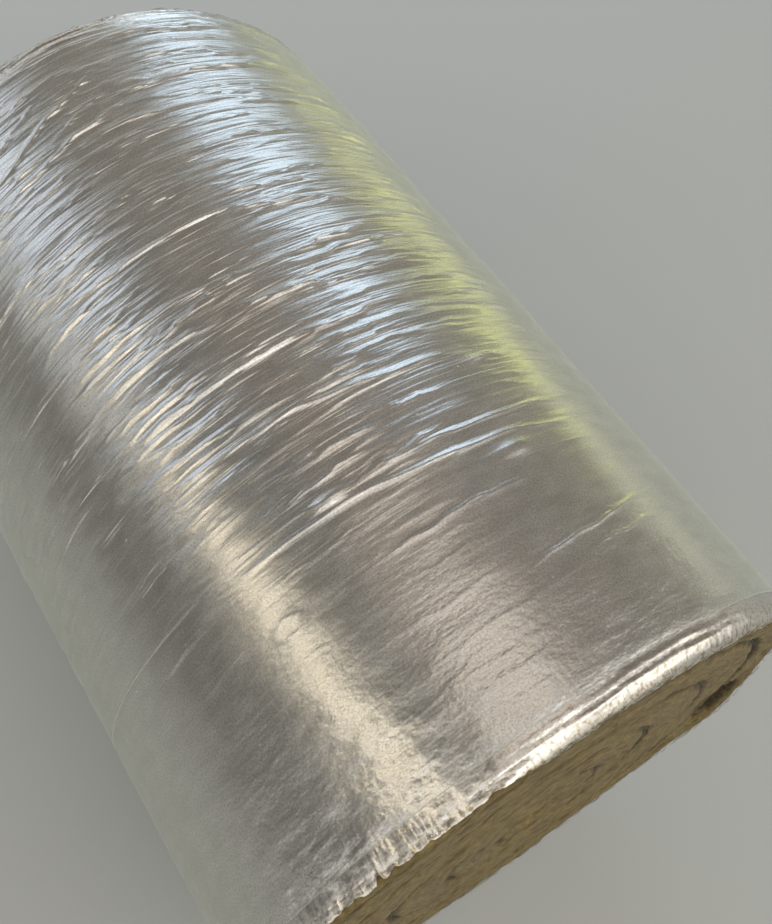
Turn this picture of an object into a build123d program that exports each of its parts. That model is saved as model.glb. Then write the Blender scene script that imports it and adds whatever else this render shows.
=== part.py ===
"""Roll of stone wool blanket with a foil facing, wound tight, sleeved in clear film and lying on its side.

The blanket is one long mat with aluminium foil glued to its outer face. Wound up, it makes a round bale of
wool whose turns show on both ends: a spiral valley with the edge of the foil standing in it. The foil is
also the skin of the last turn, and it curls a little way round both rims. Clear film is wrapped over the
foil and stops short of both ends. The tail of the blanket lies underneath, where the roll holds it down.

Frame, in millimetres: X runs along the roll, Z is up, and the origin is on the floor under its middle.
Angles across the roll count from +Y towards +Z.
"""
import math
import os

from build123d import *

# The blanket and its winding
blanket_width = 1000.0  # along the roll, between the two ends of the wool
turn_pitch = 72.0  # one turn of the blanket, from foil to foil: 75 mm loose, pressed by the winding
half_turns = 9
eye_radius = 26.0  # the open eye at the heart of the roll
eye_round = 16.0  # soft edge of the eye on each end
rim_round = 14.0  # soft edge of the last turn on each end
tail_angle = -90.0

# The valley between two turns, as it shows on each end
valley_half_width = 10.0
valley_depth = 7.0

# The foil
foil_thickness = 0.4
foil_below_end = 1.0  # how far its edges stand back from the end of the wool

# The film
film_thickness = 0.2
film_setback = 28.0  # bare foil between the edge of the film and the end of the wool

# Worked out from the sizes above
half_width = blanket_width / 2
wool_radius = eye_radius + half_turns * turn_pitch / 2
foil_radius = wool_radius + foil_thickness
axis_height = foil_radius + film_thickness
start_angle = tail_angle - 180.0 * half_turns
roll_axis = Axis((0, 0, axis_height), (1, 0, 0))
lengthwise = Plane(origin=(0, 0, axis_height), x_dir=(1, 0, 0), z_dir=(0, -1, 0))


def soft_edge(radius, inwards, size):
    """Soft edge of the +X end, from the wall at a radius to the end face, as two bevels of a quarter round."""
    knee = size * (1 - math.sqrt(0.5))
    return [
        (half_width - size, radius),
        (half_width - knee, radius + inwards * knee),
        (half_width, radius + inwards * size),
    ]


def bale_section(outer_radius):
    """One side of the roll cut lengthwise: the wool from the eye out to a radius, with its soft edges."""
    rim = soft_edge(outer_radius, -1, rim_round)
    eye = soft_edge(eye_radius, 1, eye_round)
    with BuildSketch(lengthwise) as section:
        with BuildLine():
            Polyline((0, outer_radius), *rim, *reversed(eye), (0, eye_radius), close=True)
        make_face()
        mirror(about=Plane.YZ)
    return section.sketch


def skin_section():
    """The foil round the last turn cut lengthwise: over the wall and down the first bevel of each rim."""
    wall, knee, _ = soft_edge(wool_radius, -1, rim_round)
    under = [(0, wool_radius), wall, knee]
    over = [(along, radius + foil_thickness) for along, radius in reversed(under)]
    with BuildSketch(lengthwise) as section:
        with BuildLine():
            Polyline(*under, *over, close=True)
        make_face()
        mirror(about=Plane.YZ)
    return section.sketch


def across(angle):
    """Direction across the roll at an angle."""
    return Vector(0, math.cos(math.radians(angle)), math.sin(math.radians(angle)))


def winding():
    """Each half turn of the spiral on the +X end: its radius, its own axis and the plane where it starts.

    The spiral is made of half circles. Each is half a pitch larger than the last, and its centre jumps over
    by half a pitch, so that it starts where the last one ended and in the same direction.
    """
    for count in range(half_turns):
        angle = start_angle + 180.0 * count
        centre = Vector(half_width, 0, axis_height) - across(angle) * turn_pitch / 4
        radius = eye_radius + (2 * count + 1) * turn_pitch / 4
        yield radius, Axis(centre, (1, 0, 0)), Plane(centre, x_dir=across(angle), z_dir=-across(angle + 90))


def valley_section(radius, plane):
    """The valley cut across: a foot as wide as the foil, two sloping banks, and open above."""
    bank = [
        (foil_thickness / 2, -valley_depth),
        (valley_half_width, 0),
        (valley_half_width, valley_depth),
    ]
    outer = [(radius + out, height) for out, height in bank]
    inner = [(radius - out, height) for out, height in reversed(bank)]
    with BuildSketch(plane) as section:
        with BuildLine():
            Polyline(*outer, *inner, close=True)
        make_face()
    return section.sketch


def foil_edge_section(radius, plane):
    """The edge of the foil cut across: a thin strip that stands on the foot of the valley."""
    height = valley_depth - foil_below_end
    with BuildSketch(plane) as section:
        with Locations((radius, -foil_below_end - height / 2)):
            Rectangle(foil_thickness, height)
    return section.sketch


# The valley along the whole winding, on both ends, as a cutter
with BuildPart() as valley:
    for radius, axis, plane in winding():
        revolve(valley_section(radius, plane), axis=axis, revolution_arc=180)
    mirror(about=Plane.YZ)

# The foil between the turns: its edges on both ends, trimmed where they run out to the skin
with BuildPart() as foil_edges:
    for radius, axis, plane in winding():
        revolve(foil_edge_section(radius, plane), axis=axis, revolution_arc=180)
    mirror(about=Plane.YZ)
    revolve(bale_section(foil_radius), axis=roll_axis, mode=Mode.INTERSECT)

# The wool, turned about the roll's axis, with its turns cut into both ends
with BuildPart() as wool_roll:
    revolve(bale_section(wool_radius), axis=roll_axis)
    add(valley.part, mode=Mode.SUBTRACT)
wool_roll.part.label = "wool_roll"

# The foil: skin of the last turn with a lip round each rim, and its edges between the turns
with BuildPart() as foil_facing:
    revolve(skin_section(), axis=roll_axis)
    add(foil_edges.part)
foil_facing.part.label = "foil_facing"

# The film: a sleeve drawn tight over the foil
with BuildPart() as film_wrap:
    with BuildSketch(lengthwise):
        with Locations((0, foil_radius + film_thickness / 2)):
            Rectangle(blanket_width - 2 * film_setback, film_thickness)
    revolve(axis=roll_axis)
film_wrap.part.label = "film_wrap"

os.makedirs("parts", exist_ok=True)
for piece in (wool_roll, foil_facing, film_wrap):
    export_step(piece.part, f"parts/{piece.part.label}.step")
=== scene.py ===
# %% [markdown]
# # An insulation roll, dressed for the camera
#
# A blanket of stone wool, with aluminium foil glued to its outer face, is wound up tight and drawn into a
# sleeve of clear film. The solids from the workshop say how large it is and where it lies. This notebook
# makes what the eye sees on top of them: the felted ends of the wool, the creased foil and the milky film.
#
# Everything is in metres, in the frame of the solids: X runs along the roll, Z is up, and the roll lies on
# the floor at z = 0. Angles across the roll count from +Y towards +Z.

# %% The frame
import math

import bpy
import numpy as np
from mathutils import Matrix, Vector


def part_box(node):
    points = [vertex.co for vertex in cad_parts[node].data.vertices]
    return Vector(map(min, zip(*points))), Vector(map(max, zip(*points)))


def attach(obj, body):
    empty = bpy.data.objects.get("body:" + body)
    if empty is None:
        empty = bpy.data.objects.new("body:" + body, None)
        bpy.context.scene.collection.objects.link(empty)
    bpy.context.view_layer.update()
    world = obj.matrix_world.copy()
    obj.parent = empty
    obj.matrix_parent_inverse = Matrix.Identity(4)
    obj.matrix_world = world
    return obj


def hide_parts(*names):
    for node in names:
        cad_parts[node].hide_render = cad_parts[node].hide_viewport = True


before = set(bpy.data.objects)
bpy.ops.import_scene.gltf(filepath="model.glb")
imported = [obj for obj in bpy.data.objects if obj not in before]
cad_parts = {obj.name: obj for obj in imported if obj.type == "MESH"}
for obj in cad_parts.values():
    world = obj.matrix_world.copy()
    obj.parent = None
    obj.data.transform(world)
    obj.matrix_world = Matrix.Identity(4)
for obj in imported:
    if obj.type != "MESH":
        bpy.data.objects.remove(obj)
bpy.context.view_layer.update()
scene = bpy.context.scene
scene.view_settings.view_transform = "Standard"
mm = 0.001

wool_low, wool_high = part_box("wool_roll")
foil_low, foil_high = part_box("foil_facing")
film_low, film_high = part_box("film_wrap")
half_width = wool_high.x  # of the blanket, from the middle of the roll to either end
wool_radius = (wool_high.z - wool_low.z) / 2
foil_radius = (foil_high.z - foil_low.z) / 2
film_radius = (film_high.z - film_low.z) / 2
film_half = film_high.x
axis_height = (wool_high.z + wool_low.z) / 2
round_length = 2 * math.pi * foil_radius  # once round the foil
print(f"roll {2 * half_width:.3f} m long, {2 * film_radius:.3f} m across, axis {axis_height:.4f} m up")

# %% [markdown]
# ## The tools
#
# Nearly every piece here is a sheet: a grid of points worked out with numpy, whose cells become four-sided
# faces. The rows of a grid follow one another round the roll, and its columns along it, so one function can
# place them all. A grid could be written in Python loops, but whole arrays are faster and read like the
# formula itself.

# %% A sheet from a grid of points


def grid_faces(rows, columns, round_rows):
    """Corners of each cell. Point (i, j) has the number i * columns + j. Where the rows go round, the last
    one meets the first."""
    i = np.arange(rows if round_rows else rows - 1)[:, None]
    j = np.arange(columns - 1)[None, :]
    below = (i + 1) % rows
    corners = (i * columns + j, below * columns + j, below * columns + j + 1, i * columns + j + 1)
    return np.stack(np.broadcast_arrays(*corners), axis=-1).reshape(-1, 4)


def place_mesh(name, points, faces):
    """A smooth mesh object from points and from faces that number them."""
    mesh = bpy.data.meshes.new(name)
    mesh.from_pydata(points, [], faces)
    mesh.shade_smooth()
    piece = bpy.data.objects.new(name, mesh)
    scene.collection.objects.link(piece)
    return piece


def set_chart(piece, flat):
    """Writes down where each corner of each face lies on the flat material, in metres."""
    layer = piece.data.uv_layers.new(name="chart")
    layer.data.foreach_set("uv", flat.astype(np.float32).ravel())


def add_sheet(name, points, chart, round_rows=True, turned=False):
    """A sheet from points of shape (rows, columns, 3). Its chart has shape (rows, columns, 2), with one row
    more where the rows go round. A turned sheet has its faces the other way about."""
    rows, columns = points.shape[:2]
    faces = grid_faces(rows, columns, round_rows)
    i = np.arange(chart.shape[0] - 1)[:, None]
    j = np.arange(columns - 1)[None, :]
    flat = np.stack([chart[i, j], chart[i + 1, j], chart[i + 1, j + 1], chart[i, j + 1]], axis=2)
    flat = flat.reshape(-1, 4, 2)
    if turned:
        faces = faces[:, ::-1]
        flat = flat[:, ::-1]
    piece = place_mesh(name, points.reshape(-1, 3), faces)
    set_chart(piece, flat)
    return piece


def round_the_axis(along, angle, radius):
    """Points at a distance along the roll, an angle across it and a radius from its axis."""
    along, angle, radius = np.broadcast_arrays(along, angle, radius)
    return np.stack([along, radius * np.cos(angle), axis_height + radius * np.sin(angle)], axis=-1)


# %% Smooth noise and steps


def smooth_step(low, high, value):
    """0 at low, 1 at high, and an S-curve between them. low may be the larger of the two."""
    share = np.clip((value - low) / (high - low), 0, 1)
    return share * share * (3 - 2 * share)


def soft_noise(u, v, seed, repeat=251, repeat_up=257):
    """Heights from -1 to 1: random at whole numbers of u and v, blended along S-curves between them. The
    pattern comes back after repeat steps of u and repeat_up steps of v."""
    heights = np.random.default_rng(seed).uniform(-1, 1, (repeat, repeat_up))
    u, v = np.broadcast_arrays(u, v)
    left, low = np.floor(u).astype(int), np.floor(v).astype(int)
    across, up = u - left, v - low
    across = across * across * (3 - 2 * across)
    up = up * up * (3 - 2 * up)
    left_row, right_row = left % repeat, (left + 1) % repeat
    low_column, high_column = low % repeat_up, (low + 1) % repeat_up
    bottom = heights[left_row, low_column] * (1 - across) + heights[right_row, low_column] * across
    top = heights[left_row, high_column] * (1 - across) + heights[right_row, high_column] * across
    return bottom * (1 - up) + top * up


def round_noise(turn, lumps, seed, place=0.5, lump_length=1.0):
    """Soft noise that closes on itself round the roll: lumps is their number in one turn, lump_length their
    length along the roll. Without a place it changes round the roll only."""
    return soft_noise(turn * lumps, place / lump_length, seed=seed, repeat=lumps)


# %% [markdown]
# ## The creases in the foil
#
# Foil can't stretch. Wound round a soft blanket it gives way in long thin creases, nearly all of them round
# the roll, each a sharp crest beside a shallow trough. They stand high at the far end and low at the near
# one. A noise texture gives an even ripple instead, so each crease is a stroke of its own, with a place, a
# length and a height, and the strokes add up.

# %% One stroke, and many


def add_stroke(height, arc, along, stroke):
    """Adds a crease to height[arc, along]. Across, a sharp crest exp(-|d|^1.2) stands beside a shallow
    trough; lengthwise, both fade to nothing as 1 - t^2 does. Its line leans, bends and wavers."""
    arc_at, along_at, length, width, rise, lean, bend, side = stroke
    ahead = (arc - arc_at + round_length / 2) % round_length - round_length / 2
    rows = np.nonzero(np.abs(ahead) < length / 2)[0]
    t = 2 * ahead[rows] / length
    waver = 0.5 * width * (np.sin(7 * t + 40 * along_at) + 0.5 * np.sin(17 * t + 90 * along_at))
    line = along_at + lean * ahead[rows] + bend * t * t + waver
    reach = 6 * width
    columns = np.nonzero((along > line.min() - reach) & (along < line.max() + reach))[0]
    if not len(rows) or not len(columns):
        return
    d = side * (along[columns][None, :] - line[:, None]) / width
    across = np.exp(-(np.abs(d) ** 1.2)) - 0.18 * np.exp(-(((d + 2.4) / 1.6) ** 2))
    height[np.ix_(rows, columns)] += rise * (1 - t * t)[:, None] * across


def crowding(along):
    """How wrinkled the foil is at a place along the roll: little at the near end, fully at the far one."""
    return 0.22 + 0.78 * (1 - smooth_step(0.02, 0.30, along))


def random_strokes(count, seed):
    """Strokes spread over the whole foil. Their crests are 1.4 to 2.6 mm wide to each side."""
    rng = np.random.default_rng(seed)
    arc_at = rng.uniform(0, round_length, count)
    along_at = rng.uniform(-half_width, half_width, count)
    length = rng.uniform(0.04, 0.26, count)
    width = rng.uniform(1.4, 2.6, count) * mm
    steepness = 0.07 + 0.62 * rng.random(count) ** 2
    rise = width * steepness * crowding(along_at)
    lean = rng.normal(0, 0.06, count)
    bend = rng.normal(0, 4, count) * mm
    side = rng.choice([-1, 1], count, p=[0.25, 0.75])
    return np.stack([arc_at, along_at, length, width, rise, lean, bend, side], axis=1)


def arc_of(degrees):
    """How far round the foil an angle lies, counted from the tail underneath."""
    return (degrees + 90) / 360 * round_length


# %% The long creases
# They catch the eye, and are measured. Each runs from one angle and place along the roll, in
# millimetres from the middle, to another, and has a bend, a width and a rise in millimetres.
long_creases = [
    (50, 334, 82, 360, -2, 2.2, 0.9),
    (55, 362, 72, 369, 0, 2.0, 0.7),
    (72, 277, 96, 280, 1, 2.8, 0.9),
    (60, 234, 117, 211, 2, 2.8, 1.4),
    (52, 207, 96, 206, 2, 2.6, 1.1),
    (80, 198, 96, 206, -1, 2.4, 1.2),
    (93, 181, 106, 188, 0, 2.2, 1.1),
    (76, 158, 85, 157, 0, 2.2, 0.8),
    (71, 124, 121, 98, 2, 3.2, 1.8),
    (83, 102, 92, 104, 0, 2.2, 0.8),
    (82, 88, 92, 94, 0, 2.2, 0.8),
    (75, 70, 88, 76, 0, 2.4, 0.9),
    (75, 60, 86, 61, 0, 2.2, 0.8),
    (85, 55, 95, 57, 0, 2.4, 0.9),
    (70, 36, 90, 45, -2, 3.2, 1.4),
    (87, 36, 106, 36, -1, 2.2, 1.1),
    (103, 39, 118, 33, 0, 2.4, 1.1),
    (104, 22, 116, 19, 0, 2.2, 1.1),
    (107, 5, 116, 8, 0, 2.0, 0.8),
    (77, -10, 95, -25, -2, 3.0, 1.5),
    (96, -24, 121, -36, 2, 2.8, 1.6),
    (59, -51, 82, -44, -2, 3.8, 2.2),
    (65, -71, 81, -58, -1, 3.4, 1.8),
    (79, -56, 116, -76, -3, 3.0, 1.7),
    (94, -54, 111, -42, 1, 2.4, 1.2),
    (106, -51, 116, -47, 0, 2.2, 0.9),
    (108, -83, 118, -83, 0, 2.4, 1.0),
    (109, -101, 119, -97, 0, 2.4, 1.1),
    (66, -120, 87, -139, 2, 3.4, 1.9),
    (66, -151, 84, -164, 1, 3.0, 1.7),
    (63, -177, 76, -171, 0, 3.0, 1.4),
    (94, -143, 119, -149, -1, 2.6, 1.4),
    (107, -170, 119, -168, 0, 2.2, 1.1),
    (102, -199, 117, -208, 0, 2.4, 1.1),
    (100, -217, 108, -215, 0, 2.2, 0.9),
    (62, -243, 80, -240, 1, 2.8, 1.3),
    (60, -302, 97, -320, 2, 3.2, 1.8),
    (60, -313, 75, -322, 1, 3.0, 1.4),
    (58, -332, 74, -334, 0, 3.0, 1.4),
    (57, -376, 87, -357, -6, 4.0, 2.6),
    (56, -394, 75, -405, 2, 3.6, 2.0),
    (82, -373, 89, -378, 0, 2.6, 1.1),
    (89, -347, 119, -309, -5, 3.2, 1.9),
    (93, -369, 103, -350, 0, 2.6, 1.2),
    (89, -414, 116, -345, -3, 3.2, 2.0),
    (104, -409, 113, -387, 0, 2.8, 1.4),
    (95, -433, 106, -429, 0, 2.6, 1.1),
    (58, -427, 80, -430, 1, 3.2, 1.5),
    (57, -453, 84, -455, 1, 3.4, 1.7),
    (57, -466, 80, -468, -1, 3.2, 1.6),
    (57, 478, 105, 479, 1, 2.2, 1.1),
    (60, 487, 108, 486, -1, 2.2, 1.2),
    (125, 202, 172, 197, -4, 1.6, 0.6),
]

# %% Each long crease as a stroke
fading = 1.25  # a crease fades at its ends, so it is made longer and higher than what is seen of it


def crease(from_angle, from_place, to_angle, to_place, bend, width, rise):
    """The stroke of a crease that is given by the two ends that are seen. It runs on past them."""
    start, stop = arc_of(from_angle), arc_of(to_angle)
    lean = (to_place - from_place) * mm / (stop - start)
    middle_arc, middle_place = (start + stop) / 2, (from_place + to_place) / 2 * mm
    length, rise = fading * (stop - start), fading * rise * mm
    return middle_arc, middle_place, length, width * mm, rise, lean, bend * mm, 1


hand_strokes = [crease(*ends) for ends in long_creases]
crease_count = 2400
print("creases:", len(hand_strokes), "by hand and", crease_count, "at random")

# %% [markdown]
# ## The edge of the roll
#
# At each rim the wool is soft, and the foil droops and is pulled over the edge, more in some places than in
# others. Low on the right of the near end the last turn has slipped out a little. The wool and the foil both
# need to know how much, or one would pierce the other, so functions of the place round the rim say it for
# both. The rim could also be pressed into shape by a simulation, but then no line of it could be steered.

# %% How the rim gives way


def degrees_of(turn):
    """The angle across the roll at a share of the way round it, which runs from 0 to 1, from the tail."""
    return (turn % 1) * 360 - 90


def pulled_over(turn, end):
    """Share from 0 to 1 by which the foil is pulled over the rim. High on the near end it is 1."""
    degrees = degrees_of(turn)
    share = 0.30 + 0.55 * round_noise(turn, 7, 21 if end > 0 else 22)
    if end > 0:
        share = share * smooth_step(36, 80, np.abs(degrees - 70))
        share = share + smooth_step(30, 50, degrees) * smooth_step(106, 94, degrees)
    return np.clip(share, 0, 1)


widest_edge = 14 * mm
sharpest_edge = 5 * mm


def edge_radius(turn, end):
    """Radius of the soft edge round the rim."""
    return sharpest_edge + (widest_edge - sharpest_edge) * pulled_over(turn, end)


slip_depth, slip_angle, slip_spread = 8 * mm, -25, 18  # the spread is in degrees to each side


def slipped_out(turn, radius, end):
    """How far the last turn stands out past the rest of its end, low on the right of the near one. Round
    the rim it swells and sinks as a bell curve does. Inwards it ends within half the turn's thickness."""
    off = (degrees_of(turn) - slip_angle) / slip_spread
    last_turn = smooth_step(wool_radius - 34 * mm, wool_radius - 18 * mm, radius)
    return slip_depth * np.exp(-(off**2)) * last_turn * (end > 0)


def end_droop(turn, end):
    """How far the foil has sunk at the end of the roll, more where it is pulled over."""
    return (2.0 + 2.5 * pulled_over(turn, end)) * mm


# %% [markdown]
# ## The height of the foil
#
# Under the creases the wool swells and sinks a little, over a hand's breadth, and the foil is puckered in
# narrow ribs. Three blisters and a flat one stand where air is caught. Near the floor all of it dies away,
# because there the roll's own weight presses the foil flat. Bump in the material could fake the ribs, but
# only real height catches the light in lines and breaks the outline. So creases, ribs and blisters are
# shape, and the material adds only the small dents between them.

# %% Foil height at any place
# The blisters: angle, place along the roll in metres, size and rise in millimetres. The flat one shows only
# its rim, and has a size each way.
blisters = [(100.5, 0.206, 7, 4.2), (71, 0.247, 9, 2.8), (71, -0.259, 9, 2.0)]
flat_blister = (116, 0.28, 13, 8.5, 0.55)
droop_length = 48 * mm  # how far in from the end the foil begins to sink
flattened = 5 * mm  # how far the far rim is pressed in, high on its left
pressed_to, free_from = 0.03, 0.22  # how far round from the tail the floor still presses the foil flat


def foil_height(arc, along):
    """How far the foil stands off its round, for every arc length (rows) and place along (columns)."""
    turn = arc / round_length
    down, across = turn[:, None], along[None, :]
    swell = 1.3 * round_noise(down, 9, 11, across, 0.16)
    swell = swell + 0.4 * round_noise(down, 31, 12, across, 0.05)
    pucker = 0.80 * round_noise(down, 37, 15, across, 0.017)
    pucker = pucker + 0.45 * round_noise(down, 16, 13, across, 0.011)
    pucker = pucker + 0.20 * round_noise(down, 34, 14, across, 0.006)
    height = (swell + pucker * crowding(along)[None, :]) * mm
    # close to the near end the foil is dented all over, on its left most of all
    dented = 0.2 + 0.8 * smooth_step(arc_of(94), arc_of(110), arc)
    dented = dented[:, None] * smooth_step(0.34, 0.46, along)[None, :]
    height = height + 0.7 * mm * dented * round_noise(down, 84, 16, across, 0.019)
    for stroke in hand_strokes:
        add_stroke(height, arc, along, stroke)
    for stroke in random_strokes(crease_count, seed=5):
        add_stroke(height, arc, along, stroke)
    for degrees, place, size, rise in blisters:
        around = (arc - arc_of(degrees))[:, None] / (2.4 * size * mm)
        beside = (along - place)[None, :] / (size * mm)
        height = height + rise * mm * np.exp(-(around**2) - beside**2)
    degrees, place, long, wide, rise = flat_blister
    ring = np.hypot((arc - arc_of(degrees))[:, None] / (long * mm), (along - place)[None, :] / (wide * mm))
    height = height + rise * mm * np.exp(-(((ring - 1) / 0.28) ** 2))
    # near both ends the foil droops, and the far end is flattened high on its left
    to_near = smooth_step(half_width - droop_length, half_width, along)[None, :] ** 1.5
    to_far = smooth_step(half_width - droop_length, half_width, -along)[None, :] ** 1.5
    height = height - end_droop(turn, 1)[:, None] * to_near - end_droop(turn, -1)[:, None] * to_far
    high_left = np.exp(-(((arc - arc_of(118)) / 0.13) ** 2))[:, None]
    height = height - flattened * (high_left * smooth_step(-0.33, -half_width, along)[None, :])
    return height * smooth_step(pressed_to, free_from, np.minimum(arc, round_length - arc))[:, None]


film_room = 0.3 * mm  # between the floor and all that lies inside the film


def floor_clear(points):
    """Nothing reaches below the film on the floor: what would is pressed flat."""
    points[..., 2] = np.maximum(points[..., 2], film_room)
    return points


# %% [markdown]
# ## The foil skin
#
# The foil is one sheet round the last turn. Its grid is closer across the creases than along them, because
# a crease is long and thin. That puts the faces where the shape changes. One mesh of it would be too heavy,
# so the skin is cut in two at the middle of the roll. The normals are worked out on the whole grid first,
# and so the cut can't be seen.

# %% Foil skin under the film
rim_start = film_half - 4 * mm  # the skin ends here, under the film
skin_rows, skin_columns = 262, 741


def uneven_arcs(count):
    """Arc lengths round the foil, closer together on top than underneath."""
    steps = 1 - 0.45 * np.cos(np.linspace(-math.pi, math.pi, count, endpoint=False) + math.pi / count)
    edges = np.concatenate([[0], np.cumsum(steps)])
    return edges / edges[-1] * round_length


def grid_normals(points):
    """Unit normals of a grid whose rows go round: the cross product of its two directions at each point."""
    around = np.roll(points, -1, axis=0) - np.roll(points, 1, axis=0)
    along = np.gradient(points, axis=1)
    normals = np.cross(around, along)
    return normals / np.linalg.norm(normals, axis=-1, keepdims=True)


skin_arcs = uneven_arcs(skin_rows)
skin_places = np.linspace(-rim_start, rim_start, skin_columns)
skin_height = foil_height(skin_arcs[:-1], skin_places)
skin_angle = skin_arcs[:-1] / foil_radius - math.pi / 2
skin_points = round_the_axis(skin_places[None, :], skin_angle[:, None], foil_radius + skin_height)
skin_points = floor_clear(skin_points)
skin_normals = grid_normals(skin_points)
skin_chart = np.stack(np.broadcast_arrays(skin_arcs[:, None], skin_places[None, :]), axis=-1)


def skin_half(name, first, last):
    """The columns of the skin from first to last, as a mesh of their own."""
    piece = add_sheet(name, skin_points[:, first:last], skin_chart[:, first:last])
    normals = skin_normals[:, first:last].reshape(-1, 3)
    piece.data.normals_split_custom_set_from_vertices(normals.tolist())
    return piece


middle = skin_columns // 2
foil_far = skin_half("foil_skin_far", 0, middle + 1)
foil_near = skin_half("foil_skin_near", middle, skin_columns)
print("foil skin:", len(foil_near.data.polygons) * 2, "triangles each half")

# %% [markdown]
# ## The foil round the rims
#
# Past the film the foil is bare. It runs out level, curls over the soft edge of the wool and ends in a torn
# line of small teeth. Short creases cross the edge, because the foil has to gather as it turns in. On the
# lower half, where the roll is dragged and stood down, the foil is worn back. This strip needs a finer grid
# than the skin, so it is a sheet of its own that starts under the film, along the same line of points.

# %% How the rim is torn and folded
rim_rows, flat_columns, curl_columns = 1040, 9, 13
least_curl, most_curl = 25, 80  # degrees by which the foil turns over the edge
shortest_lip = 3 * mm


def gathered_in(turn):
    """Share from 0 to 1 by which the foil is gathered in folds: fully so on the left, above the floor."""
    degrees = degrees_of(turn)
    return smooth_step(108, 122, degrees) * smooth_step(178, 160, degrees)


def torn_back(turn, angle, seed):
    """How far the torn edge stands back from a clean line: small teeth, notches, slits and wear."""
    teeth = 3.4 * np.abs(round_noise(turn, 410, seed))
    notches = 3.5 * np.clip(round_noise(turn, 90, seed + 1), 0, 1) ** 2
    slits = 16 * gathered_in(turn) * np.clip(round_noise(turn, 230, seed + 6) - 0.45, 0, 1)
    worn = 4.0 * smooth_step(0.45, 0.0, np.sin(angle))
    return (teeth + notches + slits + worn) * mm


def folded_up(turn, place, pulled, end, seed):
    """How far the foil stands off the rim. Folds run across the edge, deep where it is gathered and shallow
    where it is pulled tight, and between them it is crumpled."""
    down = turn[:, None]
    folds = 1 - 2 * np.abs(round_noise(down, 250, seed + 2, place, 0.07))
    folds = folds + 0.4 * round_noise(down, 420, seed + 3, place, 0.02)
    uneven = 0.6 + 0.6 * round_noise(turn, 70, seed + 7)
    folds = folds * uneven[:, None] * (1 if end > 0 else 0.4)
    gathered = gathered_in(turn)[:, None]
    patches = smooth_step(-0.3, 0.5, soft_noise(turn * 9 + 0.4, 0.5, seed=seed + 4, repeat=9))[:, None]
    patches = np.maximum(patches, gathered) * (1 - 0.85 * pulled)
    crumple = 0.30 * round_noise(down, 95, seed + 5, place, 0.006)
    crumple = crumple + 0.25 * round_noise(down, 333, seed + 8, place, 0.0035)
    near_edge = smooth_step(rim_start + 2 * mm, half_width - 12 * mm, place)
    depth = 0.16 + 0.80 * patches + 0.8 * gathered
    return mm * near_edge * (0.4 + 0.9 * gathered + depth * folds + crumple)


# %% Foil rims


def rim_sheet(name, end, seed):
    """From the edge of the skin to the torn edge of the foil, on the end at +X (1) or -X (-1). Past the
    flat part a point lies a distance s on: first straight, then round the soft edge by s / its radius."""
    arc = np.linspace(0, round_length, rim_rows + 1)
    turn = arc[:-1] / round_length
    angle = arc[:-1] / foil_radius - math.pi / 2
    pulled = pulled_over(turn, end)[:, None]
    soft = edge_radius(turn, end)[:, None]
    straight = widest_edge - soft
    curl = np.linspace(0, 1, curl_columns + 1)[1:]
    turned_by = np.radians(least_curl + (most_curl - least_curl) * pulled)
    reach = straight + soft * turned_by - torn_back(turn, angle, seed)[:, None]
    s = curl[None, :] * np.maximum(reach, shortest_lip)
    bow = np.maximum(s - straight, 0) / soft
    flat_end = half_width - widest_edge
    lip_place = flat_end + np.minimum(s, straight) + soft * np.sin(bow)
    out = slipped_out(turn, wool_radius, end)[:, None] * smooth_step(flat_end, half_width, lip_place)
    flat = np.linspace(rim_start, flat_end, flat_columns)
    place = np.concatenate([np.broadcast_to(flat, (rim_rows, flat_columns)), lip_place + out], axis=1)
    # the height is the skin's, taken up at the very seam where the two sheets meet
    nominal = np.concatenate([flat, flat_end + widest_edge * curl])
    height = foil_height(arc[:-1], end * nominal)
    seam = skin_height[:, -1] if end > 0 else skin_height[:, 0]
    height[:, 0] = np.interp(arc[:-1], skin_arcs, np.append(seam, seam[0]))
    height[:, flat_columns:] -= soft * (1 - np.cos(bow))
    height = height + folded_up(turn, place, pulled, end, seed)
    points = round_the_axis(end * place, angle[:, None], foil_radius + height)
    chart = np.stack(np.broadcast_arrays(arc[:, None], end * nominal[None, :]), axis=-1)
    return add_sheet(name, floor_clear(points), chart, turned=end < 0)


foil_rim_near = rim_sheet("foil_rim_near", 1, seed=31)
foil_rim_far = rim_sheet("foil_rim_far", -1, seed=41)
print("foil rim:", len(foil_rim_near.data.polygons) * 2, "triangles each")

# %% [markdown]
# ## The wool
#
# Each end of the roll shows the edge of the blanket, wound like a clock spring. The blanket's own measures
# are the natural ones here: how far along it a point is, and how deep in its thickness. Wool is laid down in
# thin layers, so it is streaked along the winding. A flat spiral picture would look the same from straight
# in front, but the photo's low view shows that the turns stand in steps, with places torn out between them.

# %% Where a point of the end lies in the blanket
turn_pitch = 72 * mm  # this and the eye are as in the solids
eye_radius = 26 * mm
eye_round = 16 * mm
turns_made = (wool_radius - eye_radius) / turn_pitch
first_angle = math.pi / 2  # where the winding starts


def in_the_blanket(angle, radius):
    """Share of the blanket's thickness (0 at its inner face, 1 at the outer) and length along it. Each turn
    is as long as a circle through it, so the length grows with the square of the turns made."""
    beyond = ((angle - first_angle) % (2 * math.pi)) / (2 * math.pi)
    turns = (radius - eye_radius) / turn_pitch - beyond
    number = np.floor(turns)
    share = turns - number
    wound = number + beyond  # turns made by the inner face here
    length = 2 * math.pi * (eye_radius * (wound + 1) + turn_pitch * (wound + 1) ** 2 / 2)
    return share, length


def wander(angle, radius, seed):
    """How far the winding strays from an even spiral, in metres."""
    turn = angle / (2 * math.pi)
    stray = 3.0 * round_noise(turn, 7, seed, radius, 0.05)
    stray = stray + 1.0 * round_noise(turn, 23, seed + 1, radius, 0.03)
    return stray * mm


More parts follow.
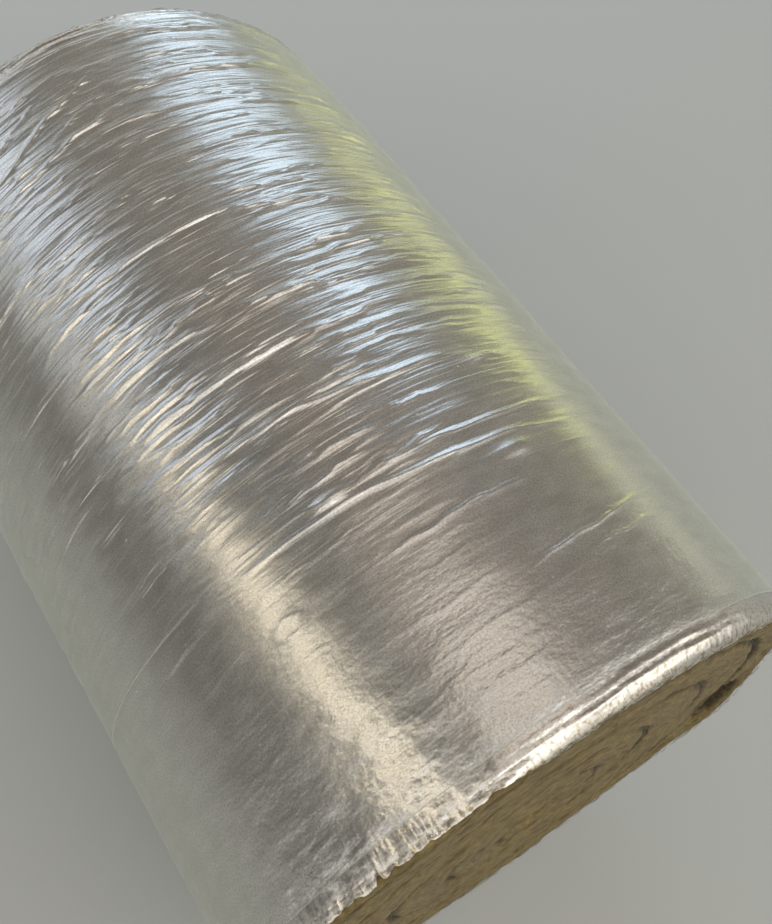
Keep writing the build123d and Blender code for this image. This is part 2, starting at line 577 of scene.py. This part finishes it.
# %% The relief of the wool
# Places where the wool is torn out: angle and radius of the middle, half the length along the winding, half
# the width and the depth, in degrees and millimetres
torn_near = [
    (-19, 312, 42, 16, 24),
    (-15, 268, 22, 8, 16),
    (-44, 316, 26, 7, 12),
    (62, 190, 16, 5, 7),
    (148, 312, 18, 4, 6),
    (215, 240, 24, 6, 9),
]
torn_far = [(20, 262, 24, 6, 10), (130, 300, 18, 5, 8), (250, 200, 26, 6, 10), (305, 318, 16, 4, 6)]


def wool_relief(angle, radius, end, seed):
    """How far the wool stands behind the plane of the end, in metres. Below zero it bulges out."""
    share, length = in_the_blanket(angle, radius + wander(angle, radius, seed))
    deep_in = share * turn_pitch
    edge = np.minimum(share, 1 - share) * turn_pitch
    valley = 8 * (1 - smooth_step(0.3 * mm, 9 * mm, edge))
    valley = valley * (0.75 + 0.5 * soft_noise(length / 0.11, 0.5, seed=seed + 2))
    belly = 1.2 * (1 - 4 * share * (1 - share))
    layers = 0.6 * soft_noise(length / 0.026, deep_in / 0.0062, seed=seed + 3)
    layers = layers + 0.5 * soft_noise(length / 0.010, deep_in / 0.0040, seed=seed + 4)
    clumps = 1.5 * soft_noise(length / 0.035, deep_in / 0.011, seed=seed + 5)
    slip = 1.6 * soft_noise(length / 0.9, 0.5, seed=seed + 6) * smooth_step(0, 9 * mm, edge)
    torn = 0
    places = torn_near if end > 0 else torn_far
    for degrees, radius_at, long, wide, deep in places:
        ahead = ((angle - math.radians(degrees) + math.pi) % (2 * math.pi) - math.pi) * radius_at
        beside = radius / mm - radius_at
        off = (ahead / long) ** 2 + (beside / wide) ** 2
        ragged = 1 + 0.5 * soft_noise(ahead / 9 + 60, beside / 4 + 60, seed=seed + 11)
        torn = torn + deep * np.exp(-((off * ragged) ** 1.6))
    at_rim = smooth_step(wool_radius - 4 * mm, wool_radius - 26 * mm, radius)
    out = slipped_out(angle / (2 * math.pi) + 0.25, radius, end)
    return 1.0 * mm + (valley + belly + layers + clumps + slip + torn) * mm * at_rim - out


# %% One half of the bale
bore_columns, end_columns = 6, 172
under_foil = 1.2 * mm  # how far the wool stays below the foil


def wool_half(name, end, seed, wool_rows):
    """From the middle of the roll, out through the eye, across the end, over the rim and back along the wall,
    which lies hidden, well below the foil."""
    angle = np.linspace(0, 2 * math.pi, wool_rows, endpoint=False)[:, None]
    turn = (angle / (2 * math.pi) + 0.25) % 1
    soft = edge_radius(turn, end) + 1 * mm
    at_rim = np.linspace(half_width - widest_edge, half_width, 8)
    foil_there = foil_height(turn[:, 0] * round_length, end * at_rim)
    skin = foil_radius - under_foil + foil_there.mean(axis=1)[:, None]
    quarter = np.linspace(0, math.pi / 2, 7)[None, 1:-1]
    column = np.ones((wool_rows, 1))
    eye_edge = eye_radius + eye_round
    from_middle = np.linspace(0, 1, bore_columns)[None, :]
    across = np.linspace(0, 1, end_columns)[None, :]
    back = np.array([[0, 0.03, 0.2, 0.4, 0.6, 0.8, 1]])
    place = [
        column * from_middle * (half_width - eye_round),
        column * (half_width - eye_round + eye_round * np.sin(quarter)),
        column * np.full((1, end_columns), half_width),
        half_width - soft + soft * np.cos(quarter),
        (half_width - soft) * (1 - back),
    ]
    reach = [
        column * np.full((1, bore_columns), eye_radius),
        column * (eye_edge - eye_round * np.cos(quarter)),
        eye_edge + (skin - soft - eye_edge) * across,
        skin - soft + soft * np.sin(quarter),
        skin - 5 * mm * smooth_step(0, 0.03, back) - 12 * mm * back,
    ]
    place = np.concatenate(place, axis=1)
    reach = np.concatenate(reach, axis=1)
    on_end = smooth_step(half_width - 12 * mm, half_width, place)
    depth = wool_relief(angle, reach, end, seed) * on_end
    points = round_the_axis(end * (place - depth), angle, reach)
    share, length = in_the_blanket(angle, reach)
    chart = np.stack([length, share * turn_pitch], axis=-1)
    chart = np.concatenate([chart, chart[:1]])
    piece = add_sheet(name, floor_clear(points), chart, turned=end > 0)
    # the material paints shade, nearly black, on what lies deep, so each point says how deep it has sunk
    sunk = smooth_step(2 * mm, 6 * mm, depth + slipped_out(turn, reach, end))
    hollow = piece.data.attributes.new("hollow", "FLOAT", "POINT")
    hollow.data.foreach_set("value", sunk.astype(np.float32).ravel())
    return piece


wool_near = wool_half("wool_near", 1, seed=60, wool_rows=450)
wool_far = wool_half("wool_far", -1, seed=80, wool_rows=380)
print("wool:", len(wool_near.data.polygons) * 2, "and", len(wool_far.data.polygons) * 2, "triangles")

# %% [markdown]
# ## The foil between the turns
#
# The foil's cut edge stands in the valley between two turns, a torn line that follows the winding. A
# painted line would do from afar, but here it is a narrow ribbon along the spiral, folded over at its top so
# that it has two sides.

# %% Foil edges in the valleys
edge_rows = 1600
edge_foot, edge_top = 11.0, 7.0  # where the ribbon stands and ends, in millimetres behind the end
from_eye, from_skin = 0.05, 0.10  # how many turns it keeps from either end of the winding


def foil_edge(name, end, seed):
    """Ribbon along the spiral r = eye radius + pitch * turns. Up its height it is crinkled more and more."""
    wound = np.linspace(from_eye, turns_made - from_skin, edge_rows)[:, None]
    angle = first_angle + 2 * math.pi * wound
    radius = eye_radius + turn_pitch * wound
    radius = radius - wander(angle, radius, seed)
    length = 2 * math.pi * (eye_radius * wound + turn_pitch * wound**2 / 2)
    top = edge_top + 1.2 * soft_noise(length / 0.05, 0.5, seed=seed + 7)
    top = top + 1.0 * soft_noise(length / 0.004, 0.5, seed=seed + 8)
    up = np.array([[0, 0.5, 1, 1, 0.5, 0]])
    side = np.array([[-1, -1, -1, 1, 1, 1]]) * 0.15 * mm
    depth = (edge_foot + (top - edge_foot) * up) * mm
    crinkle = 0.9 * soft_noise(length / 0.006, 0.5, seed=seed + 9)
    crinkle = crinkle + 0.8 * soft_noise(length / 0.019, 0.5, seed=seed + 10)
    lean = crinkle * up * mm
    points = round_the_axis(end * (half_width - depth), angle, radius + lean + side)
    chart = np.stack(np.broadcast_arrays(length, (up * 8 + np.sign(side)) * mm), axis=-1)
    return add_sheet(name, floor_clear(points), chart, round_rows=False, turned=end < 0)


foil_edge_near = foil_edge("foil_edge_near", 1, seed=60)
foil_edge_far = foil_edge("foil_edge_far", -1, seed=80)
print("foil edge:", len(foil_edge_near.data.polygons) * 2, "triangles each")

# %% [markdown]
# ## Loose fibres
#
# Cut stone wool is never smooth: strands stand off it everywhere, most of all along the rim. Hair particles
# would look right, but they are not a mesh. Here each strand is a bent path of six points with a triangle
# swept along it, and all strands of one end are one mesh, worked out as arrays.

# %% Faces of the strands
strand_rings, strand_sides = 6, 3


def strand_faces(flip):
    """Numbers of the points of each side face and of the two caps of every strand. flip says which strands
    run the other way, and have their faces turned about."""
    count, ring_points = len(flip), strand_rings * strand_sides
    ring = np.arange(strand_rings - 1)[None, :, None] * strand_sides
    first = np.arange(count)[:, None, None] * ring_points + ring
    k = np.arange(strand_sides)[None, None, :]
    after = (k + 1) % strand_sides
    corners = [first + k, first + after, first + strand_sides + after, first + strand_sides + k]
    quads = np.stack(corners, axis=-1).reshape(-1, 4)
    flip_quads = np.repeat(flip, (strand_rings - 1) * strand_sides)[:, None]
    quads = np.where(flip_quads, quads[:, ::-1], quads)
    start = np.arange(count)[:, None] * ring_points
    start_caps = start + np.array([[2, 1, 0]])
    end_caps = start + ring_points - strand_sides + np.array([[0, 1, 2]])
    start_caps = np.where(flip[:, None], start_caps[:, ::-1], start_caps)
    end_caps = np.where(flip[:, None], end_caps[:, ::-1], end_caps)
    return quads.tolist() + start_caps.tolist() + end_caps.tolist()


# %% Strands on the cut ends
strand_count = 1250
strand_length, strand_radius = (7, 26), (0.12, 0.30)  # the least and the most, in millimetres
share_at_rim = 0.55  # of the strands start near the rim, and the rest anywhere on the end


def loose_fibres(name, end, count, seed, wool_seed):
    """Strand: it starts on the wool, follows the winding with a drift outwards or inwards, and lifts off the
    surface and comes down again as a sine does. Its thickness swells and tapers to nothing."""
    rng = np.random.default_rng(seed)
    whole = (count, 1)
    from_rim = rng.random(whole) < share_at_rim
    at_rim = wool_radius - 7 * mm - rng.exponential(9 * mm, whole)
    anywhere = np.sqrt(rng.uniform((eye_radius + eye_round) ** 2, (wool_radius - 8 * mm) ** 2, whole))
    start = np.where(from_rim, at_rim, anywhere)
    angle = rng.uniform(0, 2 * math.pi, whole)
    length = rng.uniform(*strand_length, whole) * mm
    heading = rng.choice([-1, 1], whole)
    t = np.linspace(0, 1, strand_rings)[None, :]
    bend = rng.normal(0, 0.22, whole) * t + rng.normal(0, 0.30, whole) * t * t
    path_radius = np.minimum(start + length * bend, wool_radius - 4 * mm)
    path_angle = angle + heading * length * t / start
    lift = length * rng.uniform(0.03, 0.16, whole) * np.sin(math.pi * t**0.8)
    root = wool_relief(angle, start, end, wool_seed)
    place = half_width - root - 0.4 * mm + lift
    thick = rng.uniform(*strand_radius, whole) * mm * (0.12 + np.sin(math.pi * (0.08 + 0.9 * t)))
    corner = 2 * math.pi * np.arange(strand_sides)[None, None, :] / strand_sides
    radius = path_radius[..., None] + thick[..., None] * np.cos(corner)
    along = end * (place[..., None] + thick[..., None] * np.sin(corner))
    points = round_the_axis(along, path_angle[..., None], radius).reshape(-1, 3)
    piece = place_mesh(name, floor_clear(points), strand_faces((heading[:, 0] * end) > 0))
    corners = np.empty(len(piece.data.loops), dtype=np.int32)
    piece.data.loops.foreach_get("vertex_index", corners)
    spots = np.stack(np.broadcast_arrays(length * t, rng.uniform(0, 4, whole)), axis=-1)
    set_chart(piece, np.repeat(spots.reshape(-1, 2), strand_sides, axis=0)[corners])
    return piece


fibres_near = loose_fibres("fibres_near", 1, strand_count, seed=91, wool_seed=60)
fibres_far = loose_fibres("fibres_far", -1, strand_count, seed=92, wool_seed=80)
print("fibres:", strand_count * (2 * (strand_rings - 1) * strand_sides + 2), "triangles each end")

# %% [markdown]
# ## The film
#
# Clear film is wrapped over the foil. It rests on the crests and spans the troughs between them. Cloth
# simulation could find that shape, slowly. The same is had at once from the greatest height of the foil
# close by, which is a running maximum, made smooth by a running mean.

# %% Film sleeve
film_columns = 112
film_gap = 0.4 * mm  # above the highest crest nearby
crest_reach, mean_reach = 5, 6  # in columns of the skin, each about 1.3 mm


def running(values, reach, step):
    """Applies step, such as np.maximum or np.add, to each column and its neighbours up to a reach away."""
    total = values.copy()
    padded = np.pad(values, ((0, 0), (reach, reach)), mode="edge")
    for shift in range(2 * reach + 1):
        if shift != reach:
            total = step(total, padded[:, shift : shift + values.shape[1]])
    return total


def film_sheet():
    """The sleeve of film, from edge to edge, on the rows of the skin and on fewer columns."""
    crest = running(skin_height, crest_reach, np.maximum)
    crest = np.maximum(crest, np.maximum(np.roll(crest, 1, axis=0), np.roll(crest, -1, axis=0)))
    crest = running(crest, mean_reach, np.add) / (2 * mean_reach + 1)
    along = np.linspace(-film_half, film_half, film_columns)
    number = np.interp(along, skin_places, np.arange(skin_columns))
    left = np.minimum(number.astype(int), skin_columns - 2)
    share = number - left
    height = crest[:, left] * (1 - share) + crest[:, left + 1] * share
    points = round_the_axis(along[None, :], skin_angle[:, None], film_radius + film_gap + height)
    chart = np.stack(np.broadcast_arrays(skin_arcs[:, None], along[None, :]), axis=-1)
    points[..., 2] = np.maximum(points[..., 2], 0)
    return add_sheet("film_sleeve", points, chart)


film_sleeve = film_sheet()
print("film:", len(film_sleeve.data.polygons) * 2, "triangles")

# %% [markdown]
# ## Finishes
#
# Each finish is a node material that reads the piece's own chart, which is in metres, so a grain of 2 mm is
# 2 mm on every piece. Painted pictures could look as good, but they would show their own light and seams.
# The nodes are short on their own and long to write, so a few helpers make them first.

# %% Node helpers


def new_material(name):
    """A material that is nothing but a Principled shader yet, with its node tree and that shader."""
    material = bpy.data.materials.new(name)
    material.use_nodes = True
    tree = material.node_tree
    tree.nodes.clear()
    out = tree.nodes.new("ShaderNodeOutputMaterial")
    shader = tree.nodes.new("ShaderNodeBsdfPrincipled")
    tree.links.new(shader.outputs["BSDF"], out.inputs["Surface"])
    return material, tree, shader


def feed(tree, node, inputs):
    """Fills the inputs of a node. One that is a socket is linked, and a value is written in."""
    for key, value in inputs.items():
        if isinstance(value, bpy.types.NodeSocket):
            tree.links.new(value, node.inputs[key])
        else:
            node.inputs[key].default_value = value


def add_node(tree, kind, inputs=None, **settings):
    """A node with its settings and inputs."""
    node = tree.nodes.new(kind)
    for key, value in settings.items():
        setattr(node, key, value)
    feed(tree, node, inputs or {})
    return node


# %% Helpers for sums, patterns, colours and relief


def calculate(tree, operation, *values, clamp=False):
    """The result of a sum, a product or the like, of sockets and numbers."""
    node = add_node(tree, "ShaderNodeMath", dict(enumerate(values)), operation=operation, use_clamp=clamp)
    return node.outputs[0]


def times(tree, first, second):
    """The product of two sockets or numbers."""
    return calculate(tree, "MULTIPLY", first, second)


def chart_of(tree):
    """The piece's chart, in metres, as one socket and as its two parts: round the roll or along the winding,
    and along the roll or into the blanket."""
    chart = add_node(tree, "ShaderNodeUVMap", uv_map="chart").outputs["UV"]
    split = add_node(tree, "ShaderNodeSeparateXYZ", {"Vector": chart})
    return chart, split.outputs["X"], split.outputs["Y"]


def noise(tree, per_u, per_v, detail=2.0, roughness=0.5):
    """Noise from 0 to 1 with a number of features per metre each way."""
    factors = {0: chart_of(tree)[0], 1: (per_u, per_v, 1.0)}
    vector = add_node(tree, "ShaderNodeVectorMath", factors, operation="MULTIPLY").outputs[0]
    inputs = {"Vector": vector, "Scale": 1.0, "Detail": detail, "Roughness": roughness}
    return add_node(tree, "ShaderNodeTexNoise", inputs).outputs["Fac"]


def ridges(tree, per_u, per_v, sharpness):
    """Thin long crest lines: a crest where the noise passes one half, falling away to both sides."""
    away = calculate(tree, "ABSOLUTE", calculate(tree, "SUBTRACT", noise(tree, per_u, per_v), 0.5))
    return calculate(tree, "MULTIPLY_ADD", away, -sharpness, 1.0, clamp=True)


def blend(tree, share, low, high):
    """A colour between low and high. Inputs 6 and 7 and output 2 are the node's colours."""
    low, high = ((*c, 1.0) if isinstance(c, tuple) else c for c in (low, high))
    return add_node(tree, "ShaderNodeMix", {"Factor": share, 6: low, 7: high}, data_type="RGBA").outputs[2]


def spread(tree, value, low, high, to_low=0.0, to_high=1.0):
    """Maps the range from low to high to another one, and holds its ends beyond."""
    inputs = {"Value": value, "From Min": low, "From Max": high, "To Min": to_low, "To Max": to_high}
    return add_node(tree, "ShaderNodeMapRange", inputs).outputs["Result"]


def bump(tree, height, distance, normal=None):
    """Relief that stands a distance in metres high where the height is 1, on top of another where given."""
    inputs = {"Height": height, "Distance": distance, "Strength": 1.0}
    if normal is not None:
        inputs["Normal"] = normal
    return add_node(tree, "ShaderNodeBump", inputs).outputs["Normal"]


# %% [markdown]
# ### Foil
#
# The foil is a plain metal. What makes it foil is its relief: fine creases, dimples, dents near the near
# end, and a comb of folds over the rim. Near both ends, past the film, it is bare and dusted with wool.

# %% Foil
foil_material, tree, shader = new_material("foil")
_, arc, place = chart_of(tree)
from_middle = calculate(tree, "ABSOLUTE", place)

crowded = spread(tree, place, 0.30, -0.05, 0.12, 1.0)
normal = bump(tree, times(tree, ridges(tree, 6, 110, 7.0), crowded), 0.42 * mm)
dimples = noise(tree, 150, 220, detail=1.0)
dimples = times(tree, dimples, spread(tree, place, 0.26, 0.45, 1.0, 2.8))
normal = bump(tree, dimples, 0.14 * mm, normal=normal)
dents = noise(tree, 48, 60, detail=1.0, roughness=0.4)
dents = times(tree, dents, spread(tree, place, 0.34, 0.47, 0.3, 1.5))
dents = times(tree, dents, spread(tree, arc, arc_of(94), arc_of(108), 0.30, 1.0))
normal = bump(tree, dents, 1.0 * mm, normal=normal)
near_end = spread(tree, place, half_width - 62 * mm, half_width - 22 * mm)
comb = times(tree, ridges(tree, 72, 14, 3.2), near_end)
comb = times(tree, comb, spread(tree, arc, arc_of(112), arc_of(124)))
comb = times(tree, comb, spread(tree, arc, arc_of(178), arc_of(160)))
normal = bump(tree, comb, 1.0 * mm, normal=normal)

grey_foil, pale_foil, pits = (0.68, 0.66, 0.64), (0.80, 0.785, 0.76), (0.38, 0.365, 0.34)
bare_foil, wool_dust = (0.80, 0.74, 0.62), (0.30, 0.235, 0.13)
mottle = noise(tree, 30, 60, detail=3.0)
grain = noise(tree, 480, 560, roughness=0.7)
shade = blend(tree, spread(tree, mottle, 0.3, 0.7), grey_foil, pale_foil)
shade = blend(tree, spread(tree, grain, 0.42, 0.64, 0.0, 0.62), shade, pits)
bare = spread(tree, from_middle, film_half - 6 * mm, half_width - 2 * mm)
shade = blend(tree, times(tree, bare, 0.45), shade, bare_foil)
dust = spread(tree, noise(tree, 230, 230, detail=4.0), 0.53, 0.62, 0.0, 0.80)
shade = blend(tree, times(tree, dust, bare), shade, wool_dust)
gloss = spread(tree, mottle, 0.3, 0.7, 0.28, 0.33)
feed(tree, shader, {"Base Color": shade, "Metallic": 1.0, "Roughness": gloss, "Normal": normal})
print("foil finish:", len(tree.nodes), "nodes")

# %% [markdown]
# ### Foil between the turns
#
# It is the same foil, but its edge stands in a valley full of wool dust and hardly shines. The finish of the
# skin could serve here too, but its dents are placed along the roll, which means nothing along the winding.

# %% Foil between the turns
edge_material, tree, shader = new_material("foil_edge")
dusty = spread(tree, noise(tree, 90, 400, detail=3.0), 0.4, 0.6)
shade = blend(tree, dusty, (0.36, 0.33, 0.27), (0.15, 0.12, 0.07))
feed(tree, shader, {"Base Color": shade, "Metallic": 1.0, "Roughness": 0.6})
print("foil edge finish:", len(tree.nodes), "nodes")

# %% [markdown]
# ### Wool
#
# Stone wool is matt and olive-brown, streaked along the winding, with darker clumps and brown blotches.
# Light hardly gets into a torn place or deep into a valley, so shade is painted there: the wool's colour is
# blended nearly black where the mesh says that it lies deep.

# %% Wool
wool_material, tree, shader = new_material("stone_wool")
dark_fibre, pale_fibre, clump_brown = (0.118, 0.083, 0.024), (0.255, 0.190, 0.064), (0.060, 0.042, 0.012)
blotch_brown, painted_shade_brown = (0.105, 0.062, 0.024), (0.016, 0.010, 0.003)
streaks = noise(tree, 110, 280, detail=4.0, roughness=0.7)
clumps = noise(tree, 42, 115, detail=4.0, roughness=0.65)
blotches = noise(tree, 13, 42, detail=3.0, roughness=0.6)
fuzz = noise(tree, 320, 900, detail=4.0, roughness=0.7)
colour = blend(tree, spread(tree, streaks, 0.34, 0.66), dark_fibre, pale_fibre)
colour = blend(tree, spread(tree, clumps, 0.56, 0.40, 0.0, 0.55), colour, clump_brown)
colour = blend(tree, spread(tree, blotches, 0.52, 0.38, 0.0, 0.45), colour, blotch_brown)
# painted shade: where the wool lies deep its colour turns nearly black, a little less on its pale streaks
hollow = add_node(tree, "ShaderNodeAttribute", attribute_name="hollow").outputs["Fac"]
painted_shade_share = times(tree, hollow, spread(tree, streaks, 0.40, 0.62, 0.93, 0.50))
colour = blend(tree, painted_shade_share, colour, painted_shade_brown)
normal = bump(tree, clumps, 3.0 * mm)
normal = bump(tree, streaks, 1.1 * mm, normal=normal)
normal = bump(tree, fuzz, 0.6 * mm, normal=normal)
feed(tree, shader, {"Base Color": colour, "Roughness": 0.95, "Normal": normal})
feed(tree, shader, {"Sheen Weight": 0.06, "Sheen Roughness": 0.6})
print("wool finish:", len(tree.nodes), "nodes")

# %% [markdown]
# ### Film
#
# The film is clear, so it is all but invisible from straight above and milky where it is seen edge on. Its
# milk is tinted a dark grey-green, which is a painted reflection of a green floor. The film shows as well at
# its cut edge, in a few specks, and where its end laps over the turn below: a thin line on the left flank
# that drifts a little as it goes down.

# %% Film
film_material, tree, shader = new_material("film")
_, arc, place = chart_of(tree)
from_middle = calculate(tree, "ABSOLUTE", place)
facing = add_node(tree, "ShaderNodeLayerWeight", {"Blend": 0.5}).outputs["Facing"]
cloud = calculate(tree, "MULTIPLY_ADD", calculate(tree, "POWER", facing, 2.6), 0.62, 0.05)
cut_edge = spread(tree, from_middle, film_half - 1.6 * mm, film_half - 0.6 * mm, 0.0, 0.30)
cloud = calculate(tree, "ADD", cloud, cut_edge)

lap_start, lap_stop, lap_place, lap_drift = arc_of(124), arc_of(176), 203 * mm, -7 * mm
lap_fade = 60 * mm
down = spread(tree, arc, lap_start, lap_stop)
lap_line = times(tree, down, down)
lap_line = spread(tree, lap_line, 0.0, 1.0, lap_place, lap_place + lap_drift)
off_line = calculate(tree, "ABSOLUTE", calculate(tree, "SUBTRACT", place, lap_line))
lap = spread(tree, off_line, 1.3 * mm, 0.4 * mm, 0.0, 0.30)
lap = times(tree, lap, spread(tree, arc, lap_start, lap_start + lap_fade))
lap = times(tree, lap, spread(tree, arc, lap_stop, lap_stop - lap_fade))
cloud = calculate(tree, "ADD", cloud, lap)

specks = spread(tree, noise(tree, 150, 150, detail=0.0), 0.86, 0.88, 0.0, 0.40)
cloud = calculate(tree, "ADD", cloud, specks, clamp=True)
# the milky haze is the film's own; its dark grey-green tint is a painted reflection of a green floor
haze_and_painted_reflection = blend(tree, noise(tree, 8, 90), (0.50, 0.55, 0.46), (0.66, 0.70, 0.61))
stretch_lines = bump(tree, ridges(tree, 3, 130, 9.0), 0.25 * mm)
feed(tree, shader, {"Base Color": haze_and_painted_reflection, "Alpha": cloud, "Normal": stretch_lines})
feed(tree, shader, {"Roughness": 0.36, "IOR": 1.5})
print("film finish:", len(tree.nodes), "nodes")

# %% [markdown]
# ## Dressing
#
# Each piece gets its finish and is attached to the roll's body, and the solid that it is seen in place of is
# hidden. All of them lie still with the roll.

# %% Dress the pieces
foil_pieces = (foil_near, foil_far, foil_rim_near, foil_rim_far, foil_edge_near, foil_edge_far)
wool_pieces = (wool_near, wool_far, fibres_near, fibres_far)
for piece in foil_pieces:
    piece.data.materials.append(edge_material if piece in (foil_edge_near, foil_edge_far) else foil_material)
    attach(piece, "root")
    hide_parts("foil_facing")
for piece in wool_pieces:
    piece.data.materials.append(wool_material)
    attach(piece, "root")
    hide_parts("wool_roll")
film_sleeve.data.materials.append(film_material)
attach(film_sleeve, "root")
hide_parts("film_wrap")
print("dressed:", len(foil_pieces), "pieces of foil,", len(wool_pieces), "of wool and one of film")

# %% [markdown]
# ## The studio
#
# Foil is a mirror, and looks like what stands round it. One big soft light would leave it flat grey. So the
# floor is plain, the room is a soft gradient, bright past the near end and dim past the far one, and each
# bright band along the roll has a lamp of its own, set where a ray from the camera goes after the foil has
# turned it back.

# %% Floor
half_floor = 6.0
floor_grey = (0.45, 0.465, 0.455, 1.0)
floor_corners = [(x * half_floor, y * half_floor, 0) for x, y in ((-1, -1), (1, -1), (1, 1), (-1, 1))]
floor = place_mesh("floor", floor_corners, [(0, 1, 2, 3)])
floor_material, tree, shader = new_material("floor")
feed(tree, shader, {"Base Color": floor_grey, "Roughness": 0.8})
floor.data.materials.append(floor_material)

# %% Room
world = bpy.data.worlds.new("room")
world.use_nodes = True
tree = world.node_tree
background = tree.nodes["Background"]
direction = add_node(tree, "ShaderNodeTexCoord").outputs["Generated"]
parts = add_node(tree, "ShaderNodeSeparateXYZ", {"Vector": direction})
left = spread(tree, parts.outputs["Y"], -0.05, -0.35)
brighter_from = spread(tree, left, 0.0, 1.0, -0.13, -0.30)
inputs = {"Value": parts.outputs["X"], "From Min": brighter_from, "From Max": 0.38}
side = add_node(tree, "ShaderNodeMapRange", inputs, interpolation_type="SMOOTHSTEP").outputs["Result"]
dim = blend(tree, left, (0.215, 0.184, 0.158), (0.112, 0.104, 0.096))
room = blend(tree, side, dim, (1.05, 1.02, 0.97))
warm = spread(tree, parts.outputs["X"], 0.6, 0.95)
tree.links.new(blend(tree, warm, room, (0.95, 0.90, 0.80)), background.inputs["Color"])
scene.world = world

# %% A soft lamp


def soft_box(name, place, aim, width, height, brightness, colour, lengthwise=None):
    """A large soft lamp. brightness is what it shows where it is mirrored: 1 is white. Its width runs along
    lengthwise, or level where that isn't given."""
    lamp = bpy.data.lights.new(name, "AREA")
    lamp.shape = "RECTANGLE"
    lamp.size, lamp.size_y = width, height
    lamp.energy = brightness * math.pi * width * height
    lamp.color = colour
    back = (Vector(place) - Vector(aim)).normalized()
    across = Vector(lengthwise) if lengthwise else Vector((0, 0, 1)).cross(back)
    across = (across - across.dot(back) * back).normalized()
    holder = bpy.data.objects.new(name, lamp)
    holder.location = place
    holder.rotation_euler = Matrix((across, back.cross(across), back)).transposed().to_euler()
    scene.collection.objects.link(holder)


# %% Lamps round the roll
roll_middle = (0, 0, 0.35)
along_roll = (1, 0, 0)
soft_box("key", (2.6, 0.9, 3.2), roll_middle, 3.6, 3.0, 1.0, (1.0, 0.99, 0.97))
soft_box("right_fill", (1.5, 2.6, 1.7), roll_middle, 1.3, 1.2, 1.0, (1.0, 1.0, 0.88))
soft_box("far_window", (-2.7, 2.1, 1.85), roll_middle, 1.5, 1.8, 2.2, (0.68, 0.88, 1.08))
soft_box("far_left", (-2.7, -1.4, 1.9), roll_middle, 1.4, 1.3, 1.5, (0.80, 0.92, 1.08))
soft_box("far_low", (-3.2, 0.0, 1.0), roll_middle, 3.0, 1.2, 0.8, (0.90, 0.97, 1.0))
# the strips that the left flank and the top mirror, warm near the near end and cool beyond
strip_place, strip_aim, strip_runs = (0.0, -1.245, 1.862), (0.47, -0.13, 0.727), (1.04, 0.15, 0.43)
soft_box("side_strip", strip_place, strip_aim, 1.5, 0.085, 6.8, (1.0, 0.89, 0.68), strip_runs)
far_place, far_aim = (-1.07, -1.347, 1.20), (-0.10, -0.173, 0.655)
soft_box("side_strip_far", far_place, far_aim, 0.8, 0.3, 0.75, (0.92, 0.96, 1.0), along_roll)
soft_box("overhead", (0.05, 0.2, 2.8), (0.4, 0, 0.7), 0.62, 1.25, 1.0, (1.0, 0.89, 0.77), along_roll)
# low on the right, yellow beside the far half and pale beside the near one
soft_box("low_strip", (-1.88, 4.0, 0.27), (-1.88, 0, 0.27), 1.54, 0.25, 4.4, (0.92, 1.0, 0.28))
soft_box("low_strip_end", (-2.85, 4.0, 0.68), (-2.85, 0, 0.68), 1.0, 0.20, 5.6, (0.92, 1.0, 0.30))
soft_box("low_haze", (-0.50, 4.0, 0.27), (-0.50, 0, 0.27), 1.2, 0.40, 1.25, (0.96, 1.0, 0.74))

# %% [markdown]
# ## The camera
#
# It stands above the near end and looks down along the roll. From further off, with a longer lens, the
# roll would taper less. So its place and lens were both fitted to the outlines of the roll and of its end.

# %% Camera
camera_place = Vector((0.600, -0.261, 1.549))
looks_at = Vector((0.180, 0.013, 0.650))
lens = bpy.data.cameras.new("camera")
lens.lens = 41.4
lens.sensor_width = 36.0
camera = bpy.data.objects.new("camera", lens)
camera.location = camera_place
camera.rotation_euler = (looks_at - camera_place).to_track_quat("-Z", "Y").to_euler()
scene.collection.objects.link(camera)
scene.camera = camera
print(f"camera {(looks_at - camera_place).length:.2f} m from what it looks at, lens {lens.lens:.1f} mm")
